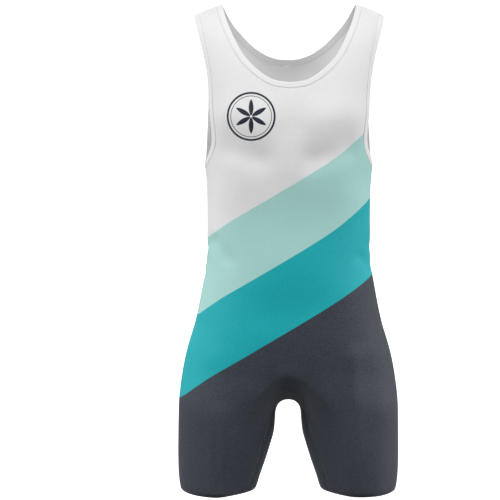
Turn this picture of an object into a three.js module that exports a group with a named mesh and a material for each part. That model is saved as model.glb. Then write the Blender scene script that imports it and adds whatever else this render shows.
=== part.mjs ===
// Wrestling singlet, filled out as on a general figure, cut and sewn from stretch tricot.
// Millimetres. +Z up, +X to the right of a viewer who looks at the front, the front faces -Y.
// The origin lies between the two shoulder straps, at their height.
import * as THREE from "three";

// Cloth
const clothThickness = 1.6;
const bindingThickness = 2.4;
const bindingWidth = 9.2;
const seamGap = 0.3;

// Heights of the cut
const shoulderTop = 12;
const chestLevel = -205;
const armpitBottom = -289;
const neckFrontBottom = -147.8;
const neckBackBottom = -102.5;
const legsPart = -640;
const crotchBottom = -708.5;
const hemLevel = -867;
const hemFrontDrop = 4.5;

// Shoulders
const shoulderSlope = 31;
const shoulderHalfWidth = 170;
const shoulderSetBack = 8;

// Crotch and legs
const archSpread = 240;
const archRun = 0.42;
const turnRun = 0.45;
const crotchFrontAngle = 115;
const crotchLean = 38;
const crotchSquare = 1.7;

// Sections of the body: height, half width, depth before and behind the side seams, squareness
const body = [
  { at: "shoulder", z: 12, half: 190, front: 112, back: 106, square: 2.5 },
  { at: "collar", z: -80, half: 165, front: 112, back: 106, square: 2.5 },
  { at: "upper chest", z: -150, half: 154, front: 112, back: 106, square: 2.5 },
  { at: "chest", z: -205, half: 151.5, front: 112, back: 106, square: 2.5 },
  { at: "armpit", z: -276, half: 150, front: 109, back: 103, square: 2.45 },
  { at: "ribs", z: -320, half: 146.5, front: 103, back: 97, square: 2.4 },
  { at: "above waist", z: -366, half: 145.5, front: 97, back: 91, square: 2.35 },
  { at: "waist", z: -412, half: 145.8, front: 94.5, back: 88, square: 2.35 },
  { at: "below waist", z: -456, half: 147.2, front: 95, back: 91, square: 2.35 },
  { at: "belly", z: -510, half: 156, front: 98, back: 100, square: 2.4 },
  { at: "upper hip", z: -565, half: 167.5, front: 100.5, back: 110, square: 2.45 },
  { at: "hip", z: -610, half: 181, front: 101, back: 114.5, square: 2.5 },
  { at: "seat", z: -640, half: 188, front: 100.5, back: 114, square: 2.5 },
  { at: "below seat", z: -670, half: 193, front: 99, back: 111, square: 2.5 },
];

// Sections of a leg: height, inner edge, outer edge, depth before and behind the side seam
const leg = [
  { at: "leg top", z: -640, inner: 13.5, outer: 188, front: 97, back: 109, square: 2.5 },
  { at: "crotch", z: -705, inner: 14.5, outer: 196.8, front: 92, back: 101, square: 2.4 },
  { at: "thigh", z: -740, inner: 19.3, outer: 198.4, front: 89, back: 96, square: 2.25 },
  { at: "mid thigh", z: -770, inner: 27.2, outer: 199, front: 86.5, back: 92, square: 2.15 },
  { at: "lower thigh", z: -813, inner: 40.2, outer: 199.3, front: 83, back: 87, square: 2.1 },
  { at: "above hem", z: -845, inner: 51.2, outer: 198.2, front: 80.5, back: 83, square: 2.1 },
  { at: "hem", z: -875, inner: 60.2, outer: 194.5, front: 78.5, back: 80, square: 2.1 },
];

// Seam edge of the neckline: height and distance from the middle
const neckFront = [
  { z: -147.8, side: 0 },
  { z: -142.5, side: 33 },
  { z: -124, side: 62 },
  { z: -98, side: 87 },
  { z: -70, side: 103 },
  { z: -34, side: 118.5 },
  { z: -1, side: 128 },
];
const neckBack = [
  { z: -102.5, side: 0 },
  { z: -100.5, side: 24 },
  { z: -91, side: 49 },
  { z: -74, side: 73 },
  { z: -56, side: 91 },
  { z: -32, side: 111 },
  { z: -1, side: 128 },
];

// Seam edge of the armhole: height and angle round from the side seam
const armFront = [
  { z: -289, turn: 0 },
  { z: -283, turn: 14 },
  { z: -271, turn: 22.8 },
  { z: -256, turn: 29.3 },
  { z: -238, turn: 32.6 },
  { z: -212, turn: 32.8 },
  { z: -175, turn: 31.8 },
  { z: -130, turn: 32.3 },
  { z: -80, turn: 33 },
  { z: -40, turn: 34.3 },
  { z: -14, turn: 35.6 },
];
const armBack = [
  { z: -289, turn: 0 },
  { z: -283, turn: 10 },
  { z: -271, turn: 15.5 },
  { z: -256, turn: 18.5 },
  { z: -235, turn: 20.6 },
  { z: -205, turn: 23.6 },
  { z: -165, turn: 27.2 },
  { z: -120, turn: 30.8 },
  { z: -80, turn: 32.6 },
  { z: -40, turn: 34.2 },
  { z: -14, turn: 35.6 },
];

// Divisions of the cloth
const halfColumns = 12;
const rowsBelowNeck = 8;
const rowsBesideNeck = 12;
const bodyRows = 17;
const crotchColumns = 10;
const inseamColumn = 4;
const inseamHemTurn = 141.5;
const legSteps = [0, 0.02, 0.05, 0.09, 0.14, 0.21, 0.3, 0.42, 0.56, 0.7, 0.85, 1];

const degree = Math.PI / 180;

// Smooth value of one named column of a table at a key, cubic between rows
function along(table, key, name, at) {
  const down = table[0][key] > table[table.length - 1][key];
  const rows = down ? [...table].reverse() : table;
  const last = rows.length - 1;
  let i = 0;
  while (i < last - 1 && at > rows[i + 1][key]) {
    i += 1;
  }
  const slope = (j) => {
    const a = rows[Math.max(0, j - 1)];
    const b = rows[Math.min(last, j + 1)];
    return (b[name] - a[name]) / (b[key] - a[key]);
  };
  const step = rows[i + 1][key] - rows[i][key];
  const t = Math.min(1, Math.max(0, (at - rows[i][key]) / step));
  const h00 = 2 * t ** 3 - 3 * t ** 2 + 1;
  const h10 = t ** 3 - 2 * t ** 2 + t;
  const h01 = -2 * t ** 3 + 3 * t ** 2;
  const h11 = t ** 3 - t ** 2;
  const ends = h00 * rows[i][name] + h01 * rows[i + 1][name];
  return ends + step * (h10 * slope(i) + h11 * slope(i + 1));
}

// Signed power, for the rounded squares of the sections
function power(value, square) {
  return Math.sign(value) * Math.abs(value) ** (2 / square);
}

// Point of the body's surface: level is the height before the shoulders' slope is taken off,
// turn runs from the right side seam (0) over the front (90) and the left side (180) to the back
function bodyPoint(level, turn) {
  const half = along(body, "z", "half", level);
  const square = along(body, "z", "square", level);
  const x = half * power(Math.cos(turn * degree), square);
  const across = power(Math.sin(turn * degree), square);
  const depth = along(body, "z", across > 0 ? "front" : "back", level);
  const rise = Math.max(0, (level - chestLevel) / (shoulderTop - chestLevel));
  const round = Math.sqrt(Math.max(0, 1 - rise * rise));
  const y = -depth * round * across + shoulderSetBack * (1 - round);
  const slope = shoulderSlope * (Math.abs(x) / shoulderHalfWidth) ** 3;
  return new THREE.Vector3(x, y, level - slope * rise);
}

// Level on the body for a height, at a distance x from the middle
function levelAt(z, x) {
  const slope = shoulderSlope * (Math.abs(x) / shoulderHalfWidth) ** 3;
  const height = shoulderTop - chestLevel;
  if (z <= chestLevel) {
    return z;
  }
  return Math.min(shoulderTop, (z - (slope * chestLevel) / height) / (1 - slope / height));
}

// Turn of a point at a distance from the middle, on the right half of the front
function turnAt(side, level) {
  const half = along(body, "z", "half", level);
  const square = along(body, "z", "square", level);
  return Math.acos((side / half) ** (square / 2)) / degree;
}

// Line on the body, as a list of level and turn, evenly spaced along its length
function evenly(nodes, count, mirror) {
  const dense = [];
  for (let i = 0; i < nodes.length - 1; i += 1) {
    for (let k = 0; k < 12; k += 1) {
      const t = k / 12;
      const at = (name) => {
        const p = nodes[Math.max(0, i - 1)][name];
        const q = nodes[i][name];
        const r = nodes[i + 1][name];
        const s = nodes[Math.min(nodes.length - 1, i + 2)][name];
        const bend = t * t * (2 * p - 5 * q + 4 * r - s) + t ** 3 * (3 * q - p - 3 * r + s);
        return q + 0.5 * (t * (r - p) + bend);
      };
      dense.push({ level: at("level"), turn: at("turn") });
    }
  }
  dense.push(nodes[nodes.length - 1]);
  const points = dense.map((d) => bodyPoint(d.level, mirror * d.turn));
  const run = [0];
  for (let i = 1; i < points.length; i += 1) {
    run.push(run[i - 1] + points[i].distanceTo(points[i - 1]));
  }
  const list = [];
  let j = 0;
  for (let k = 0; k <= count; k += 1) {
    const want = (run[run.length - 1] * k) / count;
    while (j < run.length - 2 && run[j + 1] < want) {
      j += 1;
    }
    const t = (want - run[j]) / (run[j + 1] - run[j]);
    const level = dense[j].level + t * (dense[j + 1].level - dense[j].level);
    const turn = dense[j].turn + t * (dense[j + 1].turn - dense[j].turn);
    list.push({ level, turn });
  }
  return list;
}

// Neckline seam as levels and turns
function neckNodes(table) {
  return table.map((row) => {
    const level = levelAt(row.z, row.side);
    return { level: row.side > 127 ? shoulderTop : level, turn: turnAt(row.side, level) };
  });
}

// Armhole seam as levels and turns
function armNodes(table) {
  return table.map((row, i) => {
    const x = bodyPoint(Math.min(row.z, shoulderTop), row.turn).x;
    const level = i === table.length - 1 ? shoulderTop : levelAt(row.z, x);
    return { level, turn: row.turn };
  });
}

// Upper part of a quarter of the body: rows from the armpit level to the shoulder seam,
// between the armhole and the middle line or the neckline
function upperGrid(neckTable, armTable, neckBottom, face, side) {
  const rows = rowsBelowNeck + rowsBesideNeck;
  const arm = evenly(armNodes(armTable), rows, face);
  const neck = evenly(neckNodes(neckTable), rowsBesideNeck, face);
  const grid = [];
  for (let r = 0; r <= rows; r += 1) {
    const rise = armpitBottom + ((neckBottom - armpitBottom) * r) / rowsBelowNeck;
    const inner = r < rowsBelowNeck ? { level: rise, turn: 90 } : neck[r - rowsBelowNeck];
    const row = [];
    for (let c = 0; c <= halfColumns; c += 1) {
      const t = c / halfColumns;
      const level = arm[r].level + (inner.level - arm[r].level) * t;
      const turn = arm[r].turn + (inner.turn - arm[r].turn) * t;
      const point = bodyPoint(level, face * turn);
      row.push(new THREE.Vector3(side * point.x, point.y, point.z));
    }
    grid.push(row);
  }
  return grid;
}

// Body between the armpit level and the level where the legs part, a quarter of it
function bodyGrid(face, side) {
  const grid = [];
  for (let r = 0; r <= bodyRows; r += 1) {
    const level = armpitBottom + ((legsPart - armpitBottom) * r) / bodyRows;
    const row = [];
    for (let c = 0; c <= halfColumns; c += 1) {
      const point = bodyPoint(level, (face * 90 * c) / halfColumns);
      row.push(new THREE.Vector3(side * point.x, point.y, point.z));
    }
    grid.push(row);
  }
  return grid;
}

// Point of the right leg's tube; turn runs from the side seam (0) over the front (90)
// and the inner leg (180) to the back (270)
function legPoint(z, turn) {
  const inner = along(leg, "z", "inner", z);
  const outer = along(leg, "z", "outer", z);
  const square = along(leg, "z", "square", z);
  const across = power(Math.sin(turn * degree), square);
  const depth = along(leg, "z", across > 0 ? "front" : "back", z);
  const x = (inner + outer) / 2 + ((outer - inner) / 2) * power(Math.cos(turn * degree), square);
  return new THREE.Vector3(x, -depth * across, z);
}

// Crotch line in the middle plane: curve 0 at the front, 90 at its lowest, 180 at the back
function crotchPoint(curve) {
  const front = along(body, "z", "front", legsPart);
  const back = along(body, "z", "back", legsPart);
  const across = power(Math.cos(curve * degree), crotchSquare);
  const y = (back - front) / 2 - ((front + back) / 2) * across;
  const z = legsPart + (crotchBottom - legsPart) * power(Math.sin(curve * degree), crotchSquare);
  return new THREE.Vector3(0, y, z);
}

// One column of the right leg: where it starts, which way it leaves and its turns
function legColumn(c) {
  const outerColumns = 2 * halfColumns;
  if (c === outerColumns + crotchColumns) {
    return legColumn(0);
  }
  if (c <= outerColumns) {
    const bodyTurn = -90 + (180 * c) / outerColumns;
    const start = bodyPoint(legsPart, bodyTurn);
    const lower = bodyPoint(legsPart - 6, bodyTurn);
    const down = lower.sub(start).multiplyScalar((legsPart - hemLevel) / 6);
    const apart = bodyPoint(legsPart, 0.98 * bodyTurn).sub(start).normalize();
    const lean = crotchLean * Math.max(0, (Math.abs(bodyTurn) - 30) / 60) ** 2 * degree;
    const leave = down.multiplyScalar(Math.cos(lean));
    leave.addScaledVector(apart, archSpread * Math.sin(lean));
    const turn = (bodyTurn * crotchFrontAngle) / 90;
    const hemTurn = bodyTurn > 0 ? (bodyTurn * hemFront()) / 90 : turn;
    return { start, leave, turn, hemTurn };
  }
  const step = (c - outerColumns) / crotchColumns;
  const curve = 180 * step;
  const start = crotchPoint(curve);
  const toMiddle = curve <= 90 ? curve / 90 : (180 - curve) / 90;
  const lean = (crotchLean + (90 - crotchLean) * toMiddle) * degree;
  const next = crotchPoint(curve + (curve <= 90 ? 1 : -1));
  const ahead = next.sub(start).normalize().multiplyScalar(legsPart - hemLevel);
  const leave = ahead.multiplyScalar(Math.cos(lean));
  leave.x += archSpread * Math.sin(lean);
  const back = 360 - crotchFrontAngle;
  const turn = crotchFrontAngle + (back - crotchFrontAngle) * step;
  const inseam = inseamColumn / crotchColumns;
  const rise = step < inseam;
  const near = (inseamHemTurn - hemFront()) / inseam;
  const far = (back - inseamHemTurn) / (1 - inseam);
  const hemTurn = rise ? hemFront() + near * step : inseamHemTurn + far * (step - inseam);
  return { start, leave, turn, hemTurn };
}

// Turn at the hem of the column that comes down from the front's middle
function hemFront() {
  return crotchFrontAngle - 13;
}

// Right leg's cloth: columns from the back's middle over the side and the front to the front's
// middle, then along the crotch line back; rows from the body to the hem
function legGrid(side) {
  const grid = legSteps.map(() => []);
  for (let c = 0; c <= 2 * halfColumns + crotchColumns; c += 1) {
    const column = legColumn(c);
    const top = column.start.z;
    const base = legPoint(top, column.turn);
    const bottom = (turn) => hemLevel - hemFrontDrop * Math.sin(turn * degree);
    const fall = bottom(column.turn) - top;
    const under = legPoint(top + 0.01 * fall, column.turn);
    const slide = column.start.clone().sub(base);
    const swing = column.leave.clone().sub(under.sub(base).multiplyScalar(100));
    legSteps.forEach((s, r) => {
      const early = Math.min(1, s / turnRun);
      const turned = early * early * (3 - 2 * early);
      const turn = column.turn + (column.hemTurn - column.turn) * turned;
      const point = legPoint(top + (bottom(turn) - top) * s, turn);
      const t = Math.min(1, s / archRun);
      point.addScaledVector(slide, 1 - 3 * t * t + 2 * t ** 3);
      point.addScaledVector(swing, s < archRun ? s * (1 - t) ** 2 : 0);
      grid[r].push(new THREE.Vector3(side * point.x, point.y, point.z));
    });
  }
  return grid;
}

// Adds a grid's cells to a list of triangles whose points are shared by place
function addGrid(cloth, grid, from, to, tag, flip) {
  const index = (point) => {
    const key = [point.x, point.y, point.z].map((v) => Math.round(v * 1000)).join(",");
    if (!cloth.places.has(key)) {
      cloth.places.set(key, cloth.points.length);
      cloth.points.push(point.clone());
    }
    return cloth.places.get(key);
  };
  for (let r = 0; r < grid.length - 1; r += 1) {
    for (let c = from; c < to; c += 1) {
      const a = index(grid[r][c]);
      const b = index(grid[r][c + 1]);
      const d = index(grid[r + 1][c]);
      const e = index(grid[r + 1][c + 1]);
      const pair = flip ? [[a, d, e], [a, e, b]] : [[a, e, d], [a, b, e]];
      pair.forEach((t) => {
        if (t[0] !== t[1] && t[1] !== t[2] && t[0] !== t[2]) {
          cloth.faces.push({ corners: t, tag });
        }
      });
    }
  }
}

// Normal of every shared point, the mean of its faces weighted by area
function pointNormals(cloth) {
  const normals = cloth.points.map(() => new THREE.Vector3());
  cloth.faces.forEach(({ corners }) => {
    const [a, b, c] = corners.map((i) => cloth.points[i]);
    const normal = b.clone().sub(a).cross(c.clone().sub(a));
    corners.forEach((i) => normals[i].add(normal));
  });
  return normals.map((n) => n.normalize());
}

// Solid from a list of corner indices and points
function solid(points, faces, name, color, roughness) {
  const geometry = new THREE.BufferGeometry();
  const flat = new Float32Array(points.flatMap((p) => [p.x, p.y, p.z]));
  geometry.setAttribute("position", new THREE.BufferAttribute(flat, 3));
  geometry.setIndex(faces.flat());
  geometry.computeVertexNormals();
  const material = new THREE.MeshStandardMaterial({ color, roughness, metalness: 0 });
  const mesh = new THREE.Mesh(geometry, material);
  mesh.name = name;
  return mesh;
}

// Panel: the tagged faces, thickened to a wall of cloth and drawn back at its seams
function panel(cloth, normals, tag, name, color) {
  const faces = cloth.faces.filter((f) => f.tag === tag).map((f) => f.corners);
  const used = [...new Set(faces.flat())];
  const place = new Map(used.map((v, i) => [v, i]));
  const edges = new Map();
  faces.forEach((t) => {
    t.forEach((a, i) => {
      const b = t[(i + 1) % 3];
      if (edges.has(`${b},${a}`)) {
        edges.delete(`${b},${a}`);
      } else {
        edges.set(`${a},${b}`, [a, b]);
      }
    });
  });
  const pull = new Map();
  edges.forEach(([a, b]) => {
    const along3 = cloth.points[b].clone().sub(cloth.points[a]).normalize();
    [a, b].forEach((v) => {
      const inward = normals[v].clone().cross(along3).normalize();
      pull.set(v, (pull.get(v) ?? new THREE.Vector3()).add(inward));
    });
  });
  const middle = used.map((v) => {
    const point = cloth.points[v].clone();
    if (pull.has(v)) {
      point.addScaledVector(pull.get(v).clone().normalize(), seamGap / 2);
    }
    return point;
  });
  const count = used.length;
  const outer = middle.map((p, i) => p.clone().addScaledVector(normals[used[i]], clothThickness / 2));
  const inner = middle.map((p, i) => p.clone().addScaledVector(normals[used[i]], -clothThickness / 2));
  const list = [];
  faces.forEach(([a, b, c]) => {
    const [i, j, k] = [place.get(a), place.get(b), place.get(c)];
    list.push([i, j, k]);
    list.push([i + count, k + count, j + count]);
  });
  edges.forEach(([a, b]) => {
    const [i, j] = [place.get(a), place.get(b)];
    list.push([j, i, i + count]);
    list.push([j, i + count, j + count]);
  });
  return solid([...outer, ...inner], list, name, color, 0.72);
}

// Binding: a closed strip beyond a panel's edge, from the edge's points moved outward
function binding(cloth, normals, loop, name, color) {
  const half = bindingThickness / 2;
  const far = seamGap + bindingWidth;
  const section = [
    { out: seamGap, up: -0.8 * half },
    { out: seamGap, up: 0.8 * half },
    { out: 0.45 * far, up: half },
    { out: far - 0.8, up: half },
    { out: far, up: 0.35 * half },
    { out: far, up: -0.35 * half },
    { out: far - 0.8, up: -half },
    { out: 0.45 * far, up: -half },
  ];
  const find = (p) => {
    const key = [p.x, p.y, p.z].map((v) => Math.round(v * 1000)).join(",");
    return cloth.places.get(key);
  };
  const ring = loop.map(find);
  const count = ring.length;
  const points = [];
  ring.forEach((v, i) => {
    const before = cloth.points[ring[(i + count - 1) % count]];
    const after = cloth.points[ring[(i + 1) % count]];
    const here = cloth.points[v];
    const go = here.clone().sub(before).normalize().add(after.clone().sub(here).normalize());
    const out = go.cross(normals[v]).normalize();
    section.forEach((s) => {
      const point = here.clone().addScaledVector(out, s.out).addScaledVector(normals[v], s.up);
      points.push(point);
    });
  });
  const faces = [];
  const n = section.length;
  for (let i = 0; i < count; i += 1) {
    const next = (i + 1) % count;
    for (let k = 0; k < n; k += 1) {
      const a = i * n + k;
      const b = i * n + ((k + 1) % n);
      const d = next * n + k;
      const e = next * n + ((k + 1) % n);
      faces.push([a, b, e]);
      faces.push([a, e, d]);
    }
  }
  return solid(points, faces, name, color, 0.68);
}

const cloth = { points: [], faces: [], places: new Map() };
const whole = 2 * halfColumns + crotchColumns;
const inseam = 2 * halfColumns + inseamColumn;
const uppers = {};
[1, -1].forEach((side) => {
  [1, -1].forEach((face) => {
    const tag = face > 0 ? "front" : "back";
    const tables = face > 0 ? [neckFront, armFront, neckFrontBottom] : [neckBack, armBack, neckBackBottom];
    const upper = upperGrid(...tables, face, side);
    uppers[`${tag}${side}`] = upper;
    addGrid(cloth, upper, 0, halfColumns, tag, side * face < 0);
    addGrid(cloth, bodyGrid(face, side), 0, halfColumns, tag, side * face > 0);
  });
  const legs = legGrid(side);
  addGrid(cloth, legs, 0, halfColumns, "back", side > 0);
  addGrid(cloth, legs, halfColumns, inseam, "front", side > 0);
  addGrid(cloth, legs, inseam, whole, "back", side > 0);
});
const normals = pointNormals(cloth);

const neckEdge = (grid) => grid.slice(rowsBelowNeck).map((row) => row[halfColumns]);
const armEdge = (grid) => grid.map((row) => row[0]);
const neckLoop = [
  ...neckEdge(uppers.front1).slice(0, -1),
  ...neckEdge(uppers.back1).reverse().slice(0, -1),
  ...neckEdge(uppers["back-1"]).slice(0, -1),
  ...neckEdge(uppers["front-1"]).reverse().slice(0, -1),
];
const armLoop = (side) => {
  const front = armEdge(uppers[`front${side}`]).slice(0, -1);
  const back = armEdge(uppers[`back${side}`]).reverse().slice(0, -1);
  return side > 0 ? [...front, ...back].reverse() : [...front, ...back];
};

const group = new THREE.Group();
group.name = "wrestling_singlet";
group.add(panel(cloth, normals, "front", "front_panel", 0x9bc3be));
group.add(panel(cloth, normals, "back", "back_panel", 0x22a0a6));
group.add(binding(cloth, normals, neckLoop, "neck_binding", 0xe2e4e4));
group.add(binding(cloth, normals, armLoop(-1), "armhole_binding_left", 0xe2e4e4));
group.add(binding(cloth, normals, armLoop(1), "armhole_binding_right", 0xe2e4e4));

export default group;
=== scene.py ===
"""Wrestling singlet, filled out as on a general figure, in printed stretch tricot.

Cloth and thread are worked out in millimetres, and each mesh is written in metres.
Materials, the stage, the lamps and the camera are in metres throughout.
+X is to the right of a viewer who looks at the front, +Z is up and the front faces -Y.
"""

import math

import bpy
import numpy as np
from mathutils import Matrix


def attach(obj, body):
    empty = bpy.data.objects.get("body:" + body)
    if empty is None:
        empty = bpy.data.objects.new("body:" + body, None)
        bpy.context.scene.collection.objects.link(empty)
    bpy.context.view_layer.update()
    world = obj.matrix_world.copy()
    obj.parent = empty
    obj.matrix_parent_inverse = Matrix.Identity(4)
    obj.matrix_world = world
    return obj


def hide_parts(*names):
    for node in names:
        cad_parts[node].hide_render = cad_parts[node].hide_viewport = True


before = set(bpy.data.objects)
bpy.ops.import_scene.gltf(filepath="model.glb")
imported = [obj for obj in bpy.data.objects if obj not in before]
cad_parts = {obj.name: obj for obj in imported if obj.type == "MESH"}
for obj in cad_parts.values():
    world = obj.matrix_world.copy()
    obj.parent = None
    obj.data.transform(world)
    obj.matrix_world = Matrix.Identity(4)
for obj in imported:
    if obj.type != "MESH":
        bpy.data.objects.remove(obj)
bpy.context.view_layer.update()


# Body: two panels of fine stretch tricot, front and back, each cut in one piece with its
# straps and legs. They are sewn together at the sides, the shoulders and the inner legs, so
# both come from one surface, worked out from the garment's sections.

MILLIMETRE = 0.001
CLOTH_THICKNESS = 0.9
SEAM_GAP = 0.3
FINER = 4
SEAM_STEPS = 12

SHOULDER_TOP = 12.0
CHEST_LEVEL = -205.0
ARMPIT_BOTTOM = -289.0
LEGS_PART = -640.0
CROTCH_BOTTOM = -708.5
HEM_LEVEL = -867.0
HEM_FRONT_DROP = 4.5
SHOULDER_SLOPE = 31.0
SHOULDER_HALF_WIDTH = 170.0
SHOULDER_SET_BACK = 8.0
ARCH_SPREAD = 240.0
ARCH_RUN = 0.42
TURN_RUN = 0.45
LEAN_STARTS = 30.0
BODY_STEP = 6
LEG_STEP = 0.01
LESS_TURN = 0.98
TINY = 1e-9
CROTCH_FRONT_ANGLE = 115.0
CROTCH_HEM_ANGLE = 102.0
CROTCH_LEAN = 38.0
CROTCH_SQUARE = 1.7
INSEAM_HEM_TURN = 141.5

BODY = {
    "z": [-670, -640, -610, -565, -510, -456, -412, -366, -320, -276, -205, -150, -80, 12],
    "half": [193, 188, 181, 167.5, 156, 147.2, 145.8, 145.5, 146.5, 150, 151.5, 154, 165, 190],
    "front": [99, 100.5, 101, 100.5, 98, 95, 94.5, 97, 103, 109, 112, 112, 112, 112],
    "back": [111, 114, 114.5, 110, 100, 91, 88, 91, 97, 103, 106, 106, 106, 106],
    "square": [2.5, 2.5, 2.5, 2.45, 2.4, 2.35, 2.35, 2.35, 2.4, 2.45, 2.5, 2.5, 2.5, 2.5],
}
LEG = {
    "z": [-875, -845, -813, -770, -740, -705, -640],
    "inner": [60.2, 51.2, 40.2, 27.2, 19.3, 14.5, 13.5],
    "outer": [194.5, 198.2, 199.3, 199, 198.4, 196.8, 188],
    "front": [78.5, 80.5, 83, 86.5, 89, 92, 97],
    "back": [80, 83, 87, 92, 96, 101, 109],
    "square": [2.1, 2.1, 2.1, 2.15, 2.25, 2.4, 2.5],
}
NECK_FRONT = {
    "z": [-147.8, -142.5, -124, -98, -70, -34, -1],
    "side": [0, 33, 62, 87, 103, 118.5, 128],
}
NECK_BACK = {
    "z": [-102.5, -100.5, -91, -74, -56, -32, -1],
    "side": [0, 24, 49, 73, 91, 111, 128],
}
ARM_FRONT = {
    "z": [-289, -283, -271, -256, -238, -212, -175, -130, -80, -40, -14],
    "turn": [0, 14, 22.8, 29.3, 32.6, 32.8, 31.8, 32.3, 33, 34.3, 35.6],
}
ARM_BACK = {
    "z": [-289, -283, -271, -256, -235, -205, -165, -120, -80, -40, -14],
    "turn": [0, 10, 15.5, 18.5, 20.6, 23.6, 27.2, 30.8, 32.6, 34.2, 35.6],
}
HALF_COLUMNS = 12
ROWS_BELOW_NECK = 8
ROWS_BESIDE_NECK = 12
BODY_ROWS = 17
CROTCH_COLUMNS = 10
INSEAM_COLUMN = 4
POINTS_A_MILLIMETRE = 200
LEG_STEPS = [0, 0.02, 0.05, 0.09, 0.14, 0.21, 0.3, 0.42, 0.56, 0.7, 0.85, 1]


def along(table, name, at):
    """One column of a table at heights: a cubic between rows, whose slope at each row is
    that of the line from the row before to the row after."""
    keys = np.asarray(table["z"], float)
    values = np.asarray(table[name], float)
    at = np.asarray(at, float)
    before = np.maximum(np.arange(len(keys)) - 1, 0)
    after = np.minimum(np.arange(len(keys)) + 1, len(keys) - 1)
    slopes = (values[after] - values[before]) / (keys[after] - keys[before])
    i = np.clip(np.searchsorted(keys, at, side="left") - 1, 0, len(keys) - 2)
    step = keys[i + 1] - keys[i]
    t = np.clip((at - keys[i]) / step, 0, 1)
    ends = (2 * t**3 - 3 * t**2 + 1) * values[i] + (3 * t**2 - 2 * t**3) * values[i + 1]
    return ends + step * ((t**3 - 2 * t**2 + t) * slopes[i] + (t**3 - t**2) * slopes[i + 1])


def rounded(value, square):
    """Signed power: 2 gives a circle's sine or cosine, more a squarer section."""
    return np.sign(value) * np.abs(value) ** (2 / square)


def body_surface(level, turn):
    """Point of the body. Round it the section is a rounded square of the level's half width
    and depths; above the chest its depth closes in as a quarter circle towards the shoulders,
    and the height falls with the cube of the distance from the middle."""
    level, turn = np.broadcast_arrays(np.asarray(level, float), np.asarray(turn, float))
    square = along(BODY, "square", level)
    x = along(BODY, "half", level) * rounded(np.cos(np.radians(turn)), square)
    across = rounded(np.sin(np.radians(turn)), square)
    depth = np.where(across > 0, along(BODY, "front", level), along(BODY, "back", level))
    rise = np.clip((level - CHEST_LEVEL) / (SHOULDER_TOP - CHEST_LEVEL), 0, 1)
    closing = np.sqrt(1 - rise**2)
    y = -depth * closing * across + SHOULDER_SET_BACK * (1 - closing)
    fall = SHOULDER_SLOPE * (np.abs(x) / SHOULDER_HALF_WIDTH) ** 3
    return np.stack([x, y, level - fall * rise], -1)


def level_at(z, x):
    """Level of a height at a distance from the middle, the fall of the shoulders undone."""
    fall = SHOULDER_SLOPE * (np.abs(x) / SHOULDER_HALF_WIDTH) ** 3
    height = SHOULDER_TOP - CHEST_LEVEL
    level = (z - fall * CHEST_LEVEL / height) / (1 - fall / height)
    return np.where(z <= CHEST_LEVEL, z, np.minimum(SHOULDER_TOP, level))


def evenly(level, turn, count, face):
    """Points of a seam line at even steps of its length: a smooth curve through the rows of
    level and turn, cut into small steps whose lengths are summed."""
    rows = np.stack([level, turn], -1)
    rows = np.concatenate([rows[:1], rows, rows[-1:]])
    t = np.linspace(0, 1, SEAM_STEPS, endpoint=False)[None, :, None]
    p, q, r, s = (rows[k:len(rows) - 3 + k, None, :] for k in range(4))
    bend = t**2 * (2 * p - 5 * q + 4 * r - s) + t**3 * (3 * q - p - 3 * r + s)
    dense = (q + 0.5 * (t * (r - p) + bend)).reshape(-1, 2)
    dense = np.concatenate([dense, rows[-1:]])
    points = body_surface(dense[:, 0], face * dense[:, 1])
    run = np.concatenate([[0], np.cumsum(np.linalg.norm(np.diff(points, axis=0), axis=1))])
    want = np.linspace(0, run[-1], count + 1)
    return np.interp(want, run, dense[:, 0]), np.interp(want, run, dense[:, 1])


def neck_line(table, count, face):
    """Neckline seam as levels and turns; the turn is the one whose section is as far from
    the middle as the table says."""
    z, side = (np.asarray(table[k], float) for k in ("z", "side"))
    level = level_at(z, side)
    share = side / along(BODY, "half", level)
    turn = np.degrees(np.arccos(share ** (along(BODY, "square", level) / 2)))
    level[-1] = SHOULDER_TOP
    return evenly(level, turn, count, face)


def arm_line(table, count, face):
    """Armhole seam as levels and turns."""
    z, turn = (np.asarray(table[k], float) for k in ("z", "turn"))
    level = level_at(z, body_surface(z, turn)[:, 0])
    level[-1] = SHOULDER_TOP
    return evenly(level, turn, count, face)


def upper_grid(neck, arm, face, side):
    """A quarter of the body from the armpits to the shoulder seam. Each row runs from the
    armhole to the middle line or the neckline in even steps of level and turn."""
    below = ROWS_BELOW_NECK * FINER
    beside = ROWS_BESIDE_NECK * FINER
    arm_level, arm_turn = arm_line(arm, below + beside, face)
    neck_level, neck_turn = neck_line(neck, beside, face)
    rise = np.linspace(ARMPIT_BOTTOM, neck["z"][0], below + 1)[:-1]
    inner_level = np.concatenate([rise, neck_level])
    inner_turn = np.concatenate([np.full(below, 90.0), neck_turn])
    t = np.linspace(0, 1, HALF_COLUMNS * FINER + 1)
    level = arm_level[:, None] * (1 - t) + inner_level[:, None] * t
    turn = arm_turn[:, None] * (1 - t) + inner_turn[:, None] * t
    return body_surface(level, face * turn) * [side, 1, 1]


def trunk_grid(face, side):
    """A quarter of the body from the armpits down to where the legs part."""
    level = np.linspace(ARMPIT_BOTTOM, LEGS_PART, BODY_ROWS * FINER + 1)[:, None]
    turn = face * np.linspace(0, 90, HALF_COLUMNS * FINER + 1)[None, :]
    return body_surface(level, turn) * [side, 1, 1]


def leg_surface(z, turn):
    """Point of the right leg's tube: a rounded section between an inner and an outer edge."""
    square = along(LEG, "square", z)
    inner = along(LEG, "inner", z)
    outer = along(LEG, "outer", z)
    across = rounded(np.sin(np.radians(turn)), square)
    depth = np.where(across > 0, along(LEG, "front", z), along(LEG, "back", z))
    reach = (outer - inner) / 2 * rounded(np.cos(np.radians(turn)), square)
    return np.stack([(inner + outer) / 2 + reach, -depth * across, z], -1)


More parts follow.
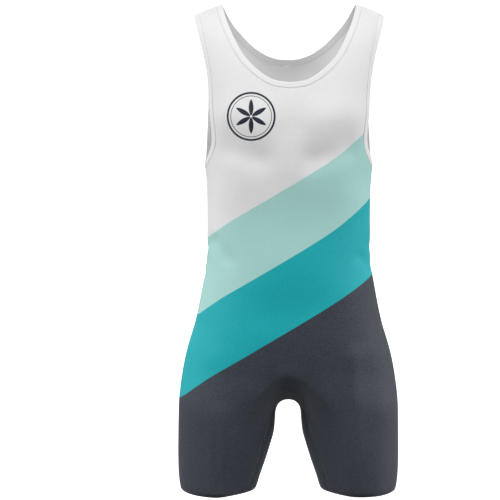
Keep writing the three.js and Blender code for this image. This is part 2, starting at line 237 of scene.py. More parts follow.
def crotch_line(curve):
    """Middle line under the body, a rounded half section from the front (0) by its lowest
    point (90) to the back (180)."""
    front = along(BODY, "front", LEGS_PART)
    back = along(BODY, "back", LEGS_PART)
    across = rounded(np.cos(np.radians(curve)), CROTCH_SQUARE)
    under = np.abs(np.sin(np.radians(curve))) ** (2 / CROTCH_SQUARE)
    y = (back - front) / 2 - (front + back) / 2 * across
    return np.stack([0 * y, y, LEGS_PART + (CROTCH_BOTTOM - LEGS_PART) * under], -1)


def leg_grid(side):
    """A leg. Each column starts on the body's lowest section or on the crotch line, leaves
    along the body there, or sideways under the crotch, and settles on the leg's tube; both
    the offset and the lean fade out as cubics of the way down."""
    length = LEGS_PART - HEM_LEVEL
    round_body = np.linspace(-90, 90, 2 * HALF_COLUMNS * FINER + 1)
    start = body_surface(LEGS_PART, round_body)
    down = (body_surface(LEGS_PART - BODY_STEP, round_body) - start) * length / BODY_STEP
    apart = body_surface(LEGS_PART, LESS_TURN * round_body) - start
    apart /= np.maximum(np.linalg.norm(apart, axis=1, keepdims=True), TINY)
    beyond = np.clip((np.abs(round_body) - LEAN_STARTS) / (90 - LEAN_STARTS), 0, None)
    steep = np.radians(CROTCH_LEAN * beyond**2)
    leave = down * np.cos(steep)[:, None] + apart * ARCH_SPREAD * np.sin(steep)[:, None]
    turn = round_body * CROTCH_FRONT_ANGLE / 90
    hem_turn = np.where(round_body > 0, round_body * CROTCH_HEM_ANGLE / 90, turn)

    step = np.linspace(0, 1, CROTCH_COLUMNS * FINER + 1)[1:-1]
    curve = 180 * step
    under = crotch_line(curve)
    ahead = crotch_line(curve + np.where(curve <= 90, 1, -1)) - under
    ahead *= length / np.linalg.norm(ahead, axis=1, keepdims=True)
    to_middle = np.where(curve <= 90, curve, 180 - curve) / 90
    lean = np.radians(CROTCH_LEAN + (90 - CROTCH_LEAN) * to_middle)[:, None]
    sideways = ahead * np.cos(lean) + np.array([ARCH_SPREAD, 0, 0]) * np.sin(lean)
    far_turn = 360 - CROTCH_FRONT_ANGLE
    under_turn = CROTCH_FRONT_ANGLE + (far_turn - CROTCH_FRONT_ANGLE) * step
    share = INSEAM_COLUMN / CROTCH_COLUMNS
    hem_under = np.interp(step, [0, share, 1], [CROTCH_HEM_ANGLE, INSEAM_HEM_TURN, far_turn])

    start = np.concatenate([start, under, start[:1]])
    leave = np.concatenate([leave, sideways, leave[:1]])
    turn = np.concatenate([turn, under_turn, turn[:1]])
    hem_turn = np.concatenate([hem_turn, hem_under, hem_turn[:1]])

    def hem(at):
        return HEM_LEVEL - HEM_FRONT_DROP * np.sin(np.radians(at))

    top = start[:, 2]
    base = leg_surface(top, turn)
    fall = (leg_surface(top + LEG_STEP * (hem(turn) - top), turn) - base) / LEG_STEP
    rows = np.arange(FINER * (len(LEG_STEPS) - 1) + 1) / FINER
    s = np.interp(rows, range(len(LEG_STEPS)), LEG_STEPS)[:, None]
    early = np.minimum(1, s / TURN_RUN)
    at = turn + (hem_turn - turn) * early**2 * (3 - 2 * early)
    t = np.minimum(1, s / ARCH_RUN)
    points = leg_surface(top + (hem(at) - top) * s, at)
    points += (start - base) * (1 - 3 * t**2 + 2 * t**3)[..., None]
    points += (leave - fall) * (s * (1 - t) ** 2)[..., None]
    return points * [side, 1, 1]


def cells(grid, first, last, turned):
    """Four-cornered faces of some of a grid's columns, as corner points and as distances in
    metres across and down the cloth for its knit."""
    part = grid[:, first:last + 1]
    down = np.cumsum(np.linalg.norm(np.diff(part, axis=0, prepend=part[:1]), axis=2), axis=0)
    over = np.cumsum(np.linalg.norm(np.diff(part, axis=1, prepend=part[:, :1]), axis=2), axis=1)
    knit = np.stack([over, down], -1) * MILLIMETRE
    order = [(0, 0), (1, 0), (1, 1), (0, 1)]
    if turned:
        order = order[::-1]
    rows, columns = part.shape[0] - 1, part.shape[1] - 1
    corners = [part[r:rows + r, c:columns + c].reshape(-1, 3) for r, c in order]
    places = [knit[r:rows + r, c:columns + c].reshape(-1, 2) for r, c in order]
    return np.stack(corners, 1), np.stack(places, 1)


def gather(pieces):
    """One mesh from many lists of faces: corners that lie together become one point."""
    corners = np.concatenate([c for c, _ in pieces])
    places = np.concatenate([p for _, p in pieces])
    keys = np.round(corners.reshape(-1, 3) * POINTS_A_MILLIMETRE).astype(np.int64)
    _, first, faces = np.unique(keys, axis=0, return_index=True, return_inverse=True)
    return corners.reshape(-1, 3)[first], faces.reshape(-1, 4), places


def facing(points, faces):
    """Normal of every point: the sum of its faces' diagonals' cross products, made unit."""
    a, b, c, d = (points[faces[:, k]] for k in range(4))
    cross = np.cross(c - a, d - b)
    total = np.zeros_like(points)
    for k in range(4):
        np.add.at(total, faces[:, k], cross)
    return total / np.linalg.norm(total, axis=1, keepdims=True)


uppers = {}
front_cells = []
back_cells = []
for side in (1, -1):
    for face, neck, arm, pieces in (
        (1, NECK_FRONT, ARM_FRONT, front_cells),
        (-1, NECK_BACK, ARM_BACK, back_cells),
    ):
        upper = upper_grid(neck, arm, face, side)
        uppers[face, side] = upper
        pieces.append(cells(upper, 0, HALF_COLUMNS * FINER, side * face < 0))
        pieces.append(cells(trunk_grid(face, side), 0, HALF_COLUMNS * FINER, side * face > 0))
    leg = leg_grid(side)
    middle = HALF_COLUMNS * FINER
    inseam = (2 * HALF_COLUMNS + INSEAM_COLUMN) * FINER
    whole = (2 * HALF_COLUMNS + CROTCH_COLUMNS) * FINER
    back_cells.append(cells(leg, 0, middle, side > 0))
    front_cells.append(cells(leg, middle, inseam, side > 0))
    back_cells.append(cells(leg, inseam, whole, side > 0))

front_count = sum(len(c) for c, _ in front_cells)
cloth_points, cloth_faces, cloth_places = gather(front_cells + back_cells)
cloth_facing = facing(cloth_points, cloth_faces)


SPECULAR = 0.3
SHEEN_ROUGHNESS = 0.45
NOISE_ROUGHNESS = 0.55


class Shade:
    """A material's socket that works as a number: its operators add Math nodes."""

    def __init__(self, tree, socket):
        self.tree = tree
        self.socket = socket

    def node(self, kind, settings=None, links=None, out=0):
        """Adds a node: its settings first, then the values and links of its sockets."""
        made = self.tree.nodes.new(kind)
        for name, value in (settings or {}).items():
            setattr(made, name, value)
        for name, value in (links or {}).items():
            if isinstance(value, Shade):
                self.tree.links.new(value.socket, made.inputs[name])
            else:
                made.inputs[name].default_value = value
        return Shade(self.tree, made.outputs[out])

    def math(self, operation, *others, clamp=False):
        """This value and others through a Math node."""
        settings = {"operation": operation, "use_clamp": clamp}
        return self.node("ShaderNodeMath", settings, dict(enumerate((self, *others))))

    def __add__(self, other):
        return self.math("ADD", other)

    def __sub__(self, other):
        return self.math("SUBTRACT", other)

    def __rsub__(self, other):
        return self.math("MULTIPLY_ADD", -1.0, other)

    def __mul__(self, other):
        return self.math("MULTIPLY", other)

    def __truediv__(self, other):
        return self.math("DIVIDE", other)

    def __pow__(self, other):
        return self.math("POWER", other)

    __radd__ = __add__
    __rmul__ = __mul__

    def over(self, edge, blur):
        """1 where the value is over an edge, 0 where it is under, and a ramp between."""
        return ((self - edge) / blur).math("ADD", 0.5, clamp=True)

    def mix(self, under, upper):
        """Colour that is under where this value is 0 and upper where it is 1."""
        settings = {"data_type": "RGBA"}
        return self.node("ShaderNodeMix", settings, {0: self, 6: under, 7: upper}, out=2)

    def part(self, axis):
        """One of the three numbers of a place or a vector."""
        return self.node("ShaderNodeSeparateXYZ", {}, {0: self}, out=axis)

    def noise(self, scale, detail):
        """Cloudy value about 0 over this place."""
        links = {"Vector": self, "Scale": scale, "Detail": detail}
        links["Roughness"] = NOISE_ROUGHNESS
        return self.node("ShaderNodeTexNoise", {}, links) - 0.5


def new_material(name, roughness, sheen):
    """A material with its shader and its place in the object's own frame."""
    material = bpy.data.materials.new(name)
    material.use_nodes = True
    tree = material.node_tree
    shader = tree.nodes["Principled BSDF"]
    shader.inputs["Roughness"].default_value = roughness
    shader.inputs["Specular IOR Level"].default_value = SPECULAR
    shader.inputs["Sheen Weight"].default_value = sheen
    shader.inputs["Sheen Roughness"].default_value = SHEEN_ROUGHNESS
    place = Shade(tree, tree.nodes.new("ShaderNodeTexCoord").outputs["Object"])
    return material, shader, place


def join(value, socket):
    """Lets a value or a colour feed a socket of its material."""
    value.tree.links.new(value.socket, socket)


def grey(value, blue=1.0):
    """Colour of one value in red and green, and a little more or less of it in blue."""
    return value.node("ShaderNodeCombineXYZ", {}, {0: value, 1: value, 2: value * blue})


def raise_by(relief, depth, strength, shader):
    """Lets a relief of some depth in metres tilt the shading of a material."""
    links = {"Height": relief, "Distance": depth, "Strength": strength}
    join(relief.node("ShaderNodeBump", {}, links), shader.inputs["Normal"])


def knit_relief(place, wale, course):
    """Height of a fine warp knit over the mesh's knit map: upright ribs, crossed by rows of
    loops that lean to one side and the other in turn, broken a little by uneven yarn."""
    knit = place.node("ShaderNodeUVMap", {"uv_map": "knit"})
    across = knit.part(0) * (2 * math.pi / wale)
    down = knit.part(1) * (2 * math.pi / course)
    lean = down.math("SINE") * 0.9
    ribs = (across + lean).math("SINE")
    rows = (down * 2).math("SINE")
    return ribs * 0.6 + rows * 0.25 + place.noise(1400.0, 1.0) * 0.9


# Printed cloth: white tricot with slanting bands of pale green, teal and charcoal printed on
# its outer face. A band's upper edge is at "from" in the middle, rises by BAND_SLOPE and, as
# a square, bends up beyond RISE_AT on the right and down beyond "fall_at" on the left.
WHITE_PRINT = (0.80, 0.80, 0.805, 1)
PALE_GREEN = (0.388, 0.665, 0.629, 1)
TEAL = (0.002, 0.395, 0.440, 1)
CHARCOAL = (0.036, 0.043, 0.057, 1)
BAND_SLOPE = 0.6
BAND_BLUR = 0.0012
YARN_SCALE = 650.0
WALE = 0.0010
COURSE = 0.0014
KNIT_DEPTH = 0.00012
KNIT_STRENGTH = 0.5
BANDS = [
    {"from": -0.3184, "rise": 2.13, "fall": 2.58, "fall_at": 0.090, "colour": PALE_GREEN},
    {"from": -0.4440, "rise": 1.80, "fall": 2.30, "fall_at": 0.100, "colour": TEAL},
    {"from": -0.5717, "rise": 0.40, "fall": 2.10, "fall_at": 0.120, "colour": CHARCOAL},
]
RISE_AT = 0.050

printed, shader, place = new_material("printed_tricot", 0.6, 0.1)
x, y, z = place.part(0), place.part(1), place.part(2)
colour = WHITE_PRINT
for band in BANDS:
    to_right = (x - RISE_AT).math("MAXIMUM", 0)
    to_left = (-band["fall_at"] - x).math("MAXIMUM", 0)
    edge = x * BAND_SLOPE + to_right * to_right * band["rise"]
    edge = edge - to_left * to_left * band["fall"] + band["from"]
    colour = (edge - z).over(0, BAND_BLUR).mix(colour, band["colour"])

# Chest design, printed in dark blue: two rings round six petals. A petal is where three of
# six circles overlap, each of which goes through the middle; a small heart is left out.
DESIGN_BLUE = (0.012, 0.018, 0.035, 1)
DESIGN_X = -0.0674
DESIGN_Z = -0.1975
RING_RADIUS = 0.0405
RING_WIDTH = 0.0034
INNER_RING_RADIUS = 0.0352
INNER_RING_WIDTH = 0.0011
PETAL_RADIUS = 0.0305
PETAL_GAP = 0.0012
HEART_RADIUS = 0.0022
INK_BLUR = 0.0006
FRONT_ENDS = -0.02
FRONT_BLUR = 0.01
PETALS = 6
CIRCLES_IN_PETAL = 3

across = x - DESIGN_X
up = z - DESIGN_Z
reach = (across * across + up * up) ** 0.5
ring = (reach - RING_RADIUS).math("ABSOLUTE")
inner = (reach - INNER_RING_RADIUS).math("ABSOLUTE")
ink = 1 - ring.over(RING_WIDTH / 2, INK_BLUR)
ink = ink.math("MAXIMUM", 1 - inner.over(INNER_RING_WIDTH / 2, INK_BLUR))
inside = None
for petal in range(PETALS):
    turn = math.radians(360 / PETALS * petal)
    dx = across - PETAL_RADIUS * math.sin(turn)
    dz = up - PETAL_RADIUS * math.cos(turn)
    far = (dx * dx + dz * dz) ** 0.5
    within = 1 - far.over(PETAL_RADIUS, INK_BLUR)
    inside = within if inside is None else inside + within
petals = inside.over(CIRCLES_IN_PETAL - 0.5, 1.0)
heart = 1 - reach.over(HEART_RADIUS, INK_BLUR)
within_tips = 1 - reach.over(PETAL_RADIUS - PETAL_GAP, INK_BLUR)
petals = petals * within_tips * (1 - heart)
ink = ink.math("MAXIMUM", petals)
ink = ink * (1 - y.over(FRONT_ENDS, FRONT_BLUR))
colour = ink.mix(colour, DESIGN_BLUE)

# Yarn: the print is a little stronger on some loops than on others, and bare fibres glint.
CLOUD_SCALE = 55.0
GLINT_SCALE = 560.0
LOOPS_VARY = 0.16
CLOUDS_VARY = 0.02
GLINTS_VARY = 0.05

loops = place.noise(YARN_SCALE, 2.0) * LOOPS_VARY
tint = grey(loops + place.noise(CLOUD_SCALE, 2.0) * CLOUDS_VARY + 1.0)
glint = grey(place.noise(GLINT_SCALE, 0.0) * GLINTS_VARY)
settings = {"operation": "MULTIPLY_ADD"}
yarn = colour.node("ShaderNodeVectorMath", settings, {0: colour, 1: tint, 2: glint})
join(yarn, shader.inputs["Base Color"])
raise_by(knit_relief(place, WALE, COURSE), KNIT_DEPTH, KNIT_STRENGTH, shader)

# Inside of the cloth: unprinted white tricot. It is as finely knit as the outside.
INSIDE_TONE = 0.86
INSIDE_VARIES = 0.11
COOL_WHITE = 1.006

inner_side, shader, place = new_material("tricot_inside", 0.8, 0.15)
tone = place.noise(YARN_SCALE, 2.0) * INSIDE_VARIES + INSIDE_TONE
join(grey(tone, COOL_WHITE), shader.inputs["Base Color"])
raise_by(knit_relief(place, WALE, COURSE), KNIT_DEPTH, KNIT_STRENGTH, shader)


# Folds: the soft troughs (height below nought) and ridges that the drawn cloth makes. Each
# lies on the side that faces "toward" (0 front, 90 right, 180 back, -90 left) and runs from
# start to end, given across that side and up. At its width about a third of it is left.
FOLDS = [
    # name, toward, start, end, width, height
    ("right breast", 0, (45, -204), (108, -194), 34, 4.8),
    ("left breast", 0, (-45, -204), (-108, -194), 34, 4.4),
    ("under right breast", 0, (30, -278), (116, -254), 24, -5.4),
    ("under left breast", 0, (-40, -276), (-120, -254), 24, -4.8),
    ("middle line", 0, (8, -215), (4, -400), 18, 1.2),
    ("belly", 0, (-14, -450), (18, -450), 56, 3.4),
    ("under belly", 0, (-50, -545), (60, -535), 46, -4.6),
    ("left thigh", 0, (-124, -690), (-127, -910), 18, 4.4),
    ("right thigh", 0, (108, -570), (115, -910), 19, 4.6),
    ("left waist", 0, (-150, -406), (-100, -455), 13, -2.7),
    ("left waist", 0, (-150, -452), (-124, -478), 7, -0.9),
    ("left hip", 0, (-160, -560), (-178, -592), 10, -1.6),
    ("right hip", 0, (165, -518), (177, -572), 11, -1.7),
    ("right waist", 0, (146, -395), (146, -425), 14, 1.2),
    ("right waist", 0, (158, -476), (122, -440), 11, -3.2),
    ("left of chest", 0, (-112, -225), (-120, -300), 30, -2.6),
    ("right of chest", 0, (112, -225), (120, -310), 30, -3.0),
    ("front of crotch", 0, (0, -655), (0, -688), 17, 3.6),
    ("right blade", 180, (-50, -150), (-92, -170), 42, 2.0),
    ("left blade", 180, (50, -150), (92, -170), 42, 1.8),
    ("spine", 180, (0, -190), (2, -420), 20, -2.2),
    ("left of waist", 180, (-95, -430), (-140, -452), 10, -1.6),
    ("right of waist", 180, (90, -442), (142, -424), 10, -1.5),
    ("left of waist", 180, (-70, -470), (-128, -492), 9, -1.2),
    ("seat", 180, (0, -590), (0, -700), 18, -5.0),
    ("under seat", 180, (-50, -730), (-130, -722), 11, -2.0),
    ("under seat", 180, (48, -728), (126, -734), 11, -2.0),
    ("right side", 90, (-60, -418), (20, -436), 10, -1.4),
    ("right side", 90, (40, -452), (-30, -470), 9, -1.1),
    ("right hip", 90, (-50, -560), (-75, -600), 11, -1.4),
    ("left side", -90, (64, -410), (-24, -442), 9, -2.0),
    ("left side", -90, (-45, -470), (20, -486), 9, -1.1),
    ("left hip", -90, (60, -566), (80, -606), 11, -1.3),
]

# Hollows: where the cloth rounds in under the body and along the inner thighs, front and
# back alike.
HOLLOWS = [
    # name, start, end, width, depth
    ("between the legs", (0, -662), (0, -705), 80, 14),
    ("left inner thigh", (-18, -630), (-96, -905), 38, 12),
    ("right inner thigh", (18, -630), (96, -905), 38, 12),
]
LINE_ENDS = (0.15, 0.85)
FOLD_REACH = 1.6
HOLLOW_FADES = 50


def bell(place, start, end, width):
    """1 along a line between two shares of it, LINE_ENDS, and a bell away from there: e to
    minus the square of the distance over the width."""
    start = np.array(start, float)
    line = end - start
    share = np.clip((place - start) @ line / (line @ line), *LINE_ENDS)
    away = np.linalg.norm(place - start - share[:, None] * line, axis=1)
    return np.exp(-((away / width) ** 2))


def folds(points, facing_out):
    """Heights of all folds at some points. Each fades as FOLD_REACH times the cosine of the
    angle between the cloth's facing and the side that the fold lies on, and is 1 at most."""
    total = np.zeros(len(points))
    for _, toward, start, end, width, height in FOLDS:
        turn = math.radians(toward)
        seen = facing_out @ [math.sin(turn), -math.cos(turn), 0]
        place = np.stack([points @ [math.cos(turn), math.sin(turn), 0], points[:, 2]], -1)
        total += height * bell(place, start, end, width) * np.clip(FOLD_REACH * seen, 0, 1)
    return total


def rounding_in(points):
    """How far points go inward along Y: the fourth root of the sum of the hollows' fourth
    powers, and less and less within HOLLOW_FADES of the middle plane."""
    total = np.zeros(len(points))
    for _, start, end, width, depth in HOLLOWS:
        total += (depth * bell(points[:, [0, 2]], start, end, width)) ** 4
    return -np.clip(points[:, 1] / HOLLOW_FADES, -1, 1) * total**0.25


plain_points = cloth_points.copy()
cloth_points += cloth_facing * folds(cloth_points, cloth_facing)[:, None]
cloth_points[:, 1] += rounding_in(plain_points)
cloth_facing = facing(cloth_points, cloth_faces)

# Panels: each is a wall of cloth round the middle surface. At the seams it dips a little.
SEAM_DIP = 0.45


def new_piece(name, points, faces, material, places=None):
    """A smooth object from points in millimetres and faces, with the knit's map if given."""
    mesh = bpy.data.meshes.new(name)
    mesh.from_pydata((points.reshape(-1, 3) * MILLIMETRE).tolist(), [], faces)
    if places is not None:
        layer = mesh.uv_layers.new(name="knit")
        layer.data.foreach_set("uv", places.reshape(-1).astype(np.float32))
    mesh.polygons.foreach_set("use_smooth", np.ones(len(faces), bool))
    mesh.materials.append(material)
    piece = bpy.data.objects.new(name, mesh)
    bpy.context.scene.collection.objects.link(piece)
    return piece


def panel(name, faces, places):
    """A panel of the cloth with a wall whose inner side is unprinted. Its edges are drawn
    back from the seams by half the gap between panels, and dip a little."""
    used, small = np.unique(faces, return_inverse=True)
    small = small.reshape(-1, 4)
    points = cloth_points[used]
    normals = cloth_facing[used]
    edges = np.concatenate([small[:, [k, (k + 1) % 4]] for k in range(4)])
    both = np.sort(edges, axis=1)
    _, first, count = np.unique(both, axis=0, return_index=True, return_counts=True)
    rim = edges[first[count == 1]]
    line = points[rim[:, 1]] - points[rim[:, 0]]
    line /= np.linalg.norm(line, axis=1, keepdims=True)
    pull = np.zeros_like(points)
    for end in (0, 1):
        np.add.at(pull, rim[:, end], np.cross(normals[rim[:, end]], line))
    size = np.linalg.norm(pull, axis=1, keepdims=True)
    points = points + pull / np.maximum(size, TINY) * SEAM_GAP / 2
    points -= normals * SEAM_DIP * (size > 0)
    piece = new_piece(name, points, small.tolist(), printed, places)
    piece.data.materials.append(inner_side)
    wall = piece.modifiers.new("wall", "SOLIDIFY")
    wall.thickness = CLOTH_THICKNESS * MILLIMETRE
    wall.offset = 0
    wall.material_offset = 1
    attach(piece, "root")
    return piece


front_panel = panel(
    "front_panel_cloth", cloth_faces[:front_count], cloth_places[:front_count]
)
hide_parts("front_panel")
back_panel = panel(
    "back_panel_cloth", cloth_faces[front_count:], cloth_places[front_count:]
)
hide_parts("back_panel")


# Bindings: strips of the same cloth in white, folded over the raw edge of the neckline and
# the armholes, so they lap over the panels a little, and held by one row of stitches.

BINDING_WIDTH = 9.2
BINDING_LAP = 0.8
BINDING_THICKNESS = 2.2
BINDING_ROUND = 28
BINDING_SQUARE_ACROSS = 5
BINDING_SQUARE_UP = 3.2
BINDING_LOOP = 0.0012
BINDING_DEPTH = 0.00014
BINDING_TONE = 0.815
BINDING_VARIES = 0.09

binding_cloth, shader, place = new_material("binding_tricot", 0.66, 0.1)
tone = place.noise(YARN_SCALE, 2.0) * BINDING_VARIES + BINDING_TONE
join(grey(tone, COOL_WHITE), shader.inputs["Base Color"])
relief = knit_relief(place, BINDING_LOOP, BINDING_LOOP)
raise_by(relief, BINDING_DEPTH, KNIT_STRENGTH, shader)


def edge_frame(line, ends=False):
    """Points, normals and outward directions along an edge of the panels, closed or with two
    ends. Outward is square to the edge and lies in the cloth."""
    gaps = np.linalg.norm(plain_points[None] - line[:, None], axis=2)
    nearest = np.argmin(gaps, axis=1)
    points = cloth_points[nearest]
    normals = cloth_facing[nearest]
    ahead = np.roll(points, -1, axis=0) - np.roll(points, 1, axis=0)
    if ends:
        ahead = np.gradient(points, axis=0)
    outward = np.cross(normals, ahead)
    outward /= np.linalg.norm(outward, axis=1, keepdims=True)
    return points, normals, outward


def binding(name, line):
    """A closed strip beyond the edge: round each point goes a flat rounded section, from
    its lap over the panel to the strip's width, fullest in the middle."""
    points, normals, outward = edge_frame(line)
    around = np.linspace(0, 2 * np.pi, BINDING_ROUND, endpoint=False)
    half = (BINDING_LAP + SEAM_GAP + BINDING_WIDTH) / 2
    out = half - BINDING_LAP - half * rounded(np.cos(around), BINDING_SQUARE_ACROSS)
    up = BINDING_THICKNESS / 2 * rounded(np.sin(around), BINDING_SQUARE_UP)
    grid = points[:, None] + outward[:, None] * out[None, :, None]
    grid = grid + normals[:, None] * up[None, :, None]
    count = len(points)
    faces = np.arange(count * BINDING_ROUND).reshape(count, BINDING_ROUND)
    ahead = np.roll(faces, -1, axis=0)
    beside = np.roll(faces, -1, axis=1)
    corner = np.roll(ahead, -1, axis=1)
    quads = np.stack([faces, ahead, corner, beside], -1).reshape(-1, 4)
    steps = np.linalg.norm(np.roll(points, -1, axis=0) - points, axis=1)
    run = np.concatenate([[0], np.cumsum(steps)]) * MILLIMETRE
    round_it = 2 * (BINDING_WIDTH + BINDING_THICKNESS) * MILLIMETRE
    girth = np.linspace(0, round_it, BINDING_ROUND + 1)
    row, column = np.meshgrid(np.arange(count), np.arange(BINDING_ROUND), indexing="ij")
    over = np.stack([girth[column], girth[column], girth[column + 1], girth[column + 1]], -1)
    down = np.stack([run[row], run[row + 1], run[row + 1], run[row]], -1)
    places = np.stack([over, down], -1)
    piece = new_piece(name, grid, quads.tolist(), binding_cloth, places)
    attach(piece, "root")
    return piece


def closed(parts):
    """One closed line from several that follow each other, each without its last point."""
    return np.concatenate([part[:-1] for part in parts])


def neck_edge(face, side):
    """Neckline of a quarter of the body, from its lowest point to the shoulder seam."""
    return uppers[face, side][ROWS_BELOW_NECK * FINER:, -1]


def arm_edge(face, side):
    """Armhole of a quarter of the body, from its lowest point to the shoulder seam."""
    return uppers[face, side][:, 0]


neck_line_round = closed([
    neck_edge(1, 1), neck_edge(-1, 1)[::-1], neck_edge(-1, -1), neck_edge(1, -1)[::-1]
])
left_line_round = closed([arm_edge(1, -1), arm_edge(-1, -1)[::-1]])
right_line_round = closed([arm_edge(1, 1), arm_edge(-1, 1)[::-1]])[::-1]
neck_binding = binding("neck_binding_strip", neck_line_round)
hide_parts("neck_binding")
left_binding = binding("armhole_binding_left_strip", left_line_round)
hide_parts("armhole_binding_left")
right_binding = binding("armhole_binding_right_strip", right_line_round)
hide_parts("armhole_binding_right")


# Stitches: rows of pale grey thread, which hold the bindings to the panels and lie in front
# of the shoulder seams. A row is seen on the outer and on the inner face of the cloth. Their
# grey is partly the thread's own and partly painted shade, darker than the cloth so that it
# stands for the shadow in the seam grooves and behind the shoulder ridge.

THREAD_RADIUS = 0.27
THREAD_SHOWS = 0.6
STITCH_LENGTH = 2.3
STITCH_PITCH = 2.9
STITCH_INSET = 1.5
STITCH_SINKS = 0.7
SHOULDER_INSET = 3.0
STITCH_RINGS = [-1.0, -0.9, -0.5, 0.5, 0.9, 1.0]
STITCH_SIDES = 6
STITCH_BLUNT = 0.1
THREAD_TONE_WITH_SEAM_SHADE = 0.38
THREAD_VARIES = 0.5
THREAD_BLUE = 1.02
THREAD_SCALE = 900.0
FIBRE_SCALE = 2600.0
FIBRE_DEPTH = 0.00008
FIBRE_STRENGTH = 0.6

# The thread's grey tone is partly painted shade: the shadow in the seam grooves and behind the
# shoulder ridge.
thread_with_seam_shade, shader, place = new_material("grey_thread_painted_seam_shade", 0.6, 0.0)
tone = place.noise(THREAD_SCALE, 2.0) * THREAD_VARIES + THREAD_TONE_WITH_SEAM_SHADE
join(grey(tone, THREAD_BLUE), shader.inputs["Base Color"])
raise_by(place.noise(FIBRE_SCALE, 1.0), FIBRE_DEPTH, FIBRE_STRENGTH, shader)


def stitches(name, line, inset, ends=False):
    """A row of stitches inside an edge, on the cloth's outer face and on its inner face:
    short rods at even steps of its length, whose radius falls off towards both ends as the
    root of one less the fourth power of the way out, down to a blunt end."""
    way = edge_frame(line, ends)
    if not ends:
        way = [np.concatenate([values, values[:1]]) for values in way]
    steps = np.linalg.norm(np.diff(way[0], axis=0), axis=1)
    run = np.concatenate([[0], np.cumsum(steps)])
    count = int(run[-1] / STITCH_PITCH)
    at = (np.arange(count) + 0.5) * run[-1] / count
    centre, normal, out = (
        np.stack([np.interp(at, run, values[:, k]) for k in range(3)], -1) for values in way
    )
    centre = centre - out * inset
    proud = CLOTH_THICKNESS / 2 + THREAD_RADIUS * THREAD_SHOWS
    low = SEAM_DIP * STITCH_SINKS
    centre = np.concatenate([centre + normal * (proud - low), centre - normal * (proud + low)])
    normal = np.concatenate([normal, normal])
    out = np.concatenate([out, out])
    ahead = np.cross(normal, out)
    along_rod = np.array(STITCH_RINGS)
    radius = THREAD_RADIUS * np.sqrt(np.maximum(1 - along_rod**4, STITCH_BLUNT))
    around = np.linspace(0, 2 * np.pi, STITCH_SIDES, endpoint=False)
    ring = out[:, None] * np.cos(around)[:, None] + normal[:, None] * np.sin(around)[:, None]
    grid = centre[:, None, None] + ahead[:, None, None] * (
        along_rod[:, None, None] * STITCH_LENGTH / 2
    )
    grid = grid + ring[:, None] * radius[:, None, None]
    index = np.arange(grid.size // 3).reshape(grid.shape[:3])
    beside = np.roll(index, -1, axis=2)
    quads = np.stack(
        [index[:, :-1], index[:, 1:], beside[:, 1:], beside[:, :-1]], -1
    ).reshape(-1, 4).tolist()
    caps = index[:, 0].tolist() + index[:, -1, ::-1].tolist()
    piece = new_piece(name, grid, quads + caps, thread_with_seam_shade)
    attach(piece, "root")
    return piece


# Each row's grey is partly painted shade of its seam groove; the shoulder rows stand for the
# shadow behind the shoulder ridge.
neck_stitches = stitches("neck_stitches", neck_line_round, STITCH_INSET)
left_stitches = stitches("armhole_stitches_left", left_line_round, STITCH_INSET)
right_stitches = stitches("armhole_stitches_right", right_line_round, STITCH_INSET)
shoulder_left = stitches("shoulder_stitches_left", uppers[1, -1][-1], SHOULDER_INSET, ends=True)
shoulder_right = stitches(
    "shoulder_stitches_right", uppers[1, 1][-1, ::-1], SHOULDER_INSET, ends=True
)


# Floor: plain and grey, well below the garment, which hangs in the air as it is worn.

FLOOR_LEVEL = -2.2
FLOOR_HALF_WIDTH = 7.0
FLOOR_FRONT = -6.0
FLOOR_BACK = 4.5
FLOOR_TONE = 0.25


def stage_plane(name, corners, colour, glow):
    """A flat piece of the studio in one colour, which may glow evenly."""
    mesh = bpy.data.meshes.new(name)
    mesh.from_pydata(corners, [], [(0, 1, 2, 3)])
    material = bpy.data.materials.new(name)
    material.use_nodes = True
    shader = material.node_tree.nodes["Principled BSDF"]
    shader.inputs["Base Color"].default_value = (colour, colour, colour, 1)
    shader.inputs["Roughness"].default_value = 0.9
    shader.inputs["Emission Color"].default_value = (1, 1, 1, 1)
    shader.inputs["Emission Strength"].default_value = glow
    mesh.materials.append(material)
    plane = bpy.data.objects.new(name, mesh)
    bpy.context.scene.collection.objects.link(plane)


stage_plane("studio_floor", [
    (-FLOOR_HALF_WIDTH, FLOOR_FRONT, FLOOR_LEVEL),
    (FLOOR_HALF_WIDTH, FLOOR_FRONT, FLOOR_LEVEL),
    (FLOOR_HALF_WIDTH, FLOOR_BACK, FLOOR_LEVEL),
    (-FLOOR_HALF_WIDTH, FLOOR_BACK, FLOOR_LEVEL),
], FLOOR_TONE, 0.0)


# Backdrop: a white wall far behind the garment, lit so evenly that it glows.

BACKDROP_AT = 4.5
BACKDROP_HALF_WIDTH = 1.3
BACKDROP_BOTTOM = -2.1
BACKDROP_TOP = 0.6
BACKDROP_TONE = 0.9
BACKDROP_GLOW = 1.02

stage_plane("studio_backdrop", [
    (-BACKDROP_HALF_WIDTH, BACKDROP_AT, BACKDROP_BOTTOM),
    (BACKDROP_HALF_WIDTH, BACKDROP_AT, BACKDROP_BOTTOM),
    (BACKDROP_HALF_WIDTH, BACKDROP_AT, BACKDROP_TOP),
    (-BACKDROP_HALF_WIDTH, BACKDROP_AT, BACKDROP_TOP),
], BACKDROP_TONE, BACKDROP_GLOW)


# Lamps: large and soft. One at each side towards the front, a weak one above the camera,
# three small ones with honeycombs, which light the outer side and the front of the legs, and
# two behind. "aim" is the height on the garment's axis that a lamp points at.

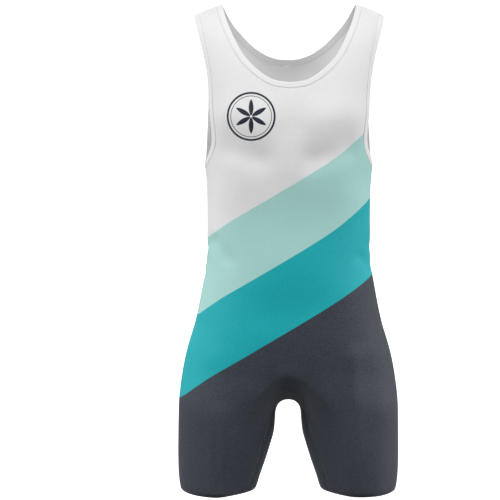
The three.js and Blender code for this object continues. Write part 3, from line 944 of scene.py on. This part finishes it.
LAMPS = {
    "name": [
        "left_lamp", "right_lamp", "upper_lamp", "left_leg_lamp", "right_leg_lamp",
        "front_leg_lamp", "left_rear_lamp", "right_rear_lamp",
    ],
    "x": [-2.7, 2.7, 0.0, -2.4, 2.4, 0.0, -1.7, 1.7],
    "y": [-1.6, -1.6, -3.2, 0.3, 0.3, -3.3, 2.8, 2.8],
    "z": [1.3, 1.3, 1.8, -0.5, -0.5, -1.1, 1.3, 1.3],
    "aim": [-0.4, -0.4, -0.4, -0.78, -0.78, -0.86, -0.4, -0.4],
    "width": [1.8, 1.8, 2.0, 0.7, 0.7, 0.4, 1.2, 1.2],
    "height": [1.8, 1.8, 1.2, 0.7, 0.7, 0.3, 1.2, 1.2],
    "spread": [180, 180, 180, 26, 26, 12, 180, 180],
    "watts": [107, 101, 14, 0.45, 0.8, 0.1, 40, 40],
}
for name, x_at, y_at, z_at, aim_at, width, height, spread, watts in zip(*LAMPS.values()):
    lamp = bpy.data.lights.new(name, "AREA")
    lamp.shape = "RECTANGLE"
    lamp.size = width
    lamp.size_y = height
    lamp.spread = math.radians(spread)
    lamp.energy = watts
    holder = bpy.data.objects.new(name, lamp)
    holder.location = (x_at, y_at, z_at)
    aim = np.array([0, 0, aim_at]) - holder.location
    holder.rotation_euler = (
        math.acos(-aim[2] / np.linalg.norm(aim)), 0, math.atan2(-aim[0], aim[1])
    )
    bpy.context.scene.collection.objects.link(holder)

# Room: a faint even light from all round.
ROOM_LIGHT = 0.06

world = bpy.data.worlds.new("soft_room")
world.use_nodes = True
world.node_tree.nodes["Background"].inputs["Color"].default_value = (1, 1, 1, 1)
world.node_tree.nodes["Background"].inputs["Strength"].default_value = ROOM_LIGHT
bpy.context.scene.world = world
bpy.context.scene.view_settings.view_transform = "Standard"


# Camera: in front, a little to the left and above the middle, looking slightly down.

CAMERA_AT = (-0.0693, -2.9908, -0.2016)
LOOKS_DOWN = 4.5

camera_data = bpy.data.cameras.new("camera")
camera_data.sensor_width = 36
camera_data.lens = 120
camera = bpy.data.objects.new("camera", camera_data)
camera.location = CAMERA_AT
camera.rotation_euler = (math.radians(90 - LOOKS_DOWN), 0, 0)
bpy.context.scene.collection.objects.link(camera)
bpy.context.scene.camera = camera
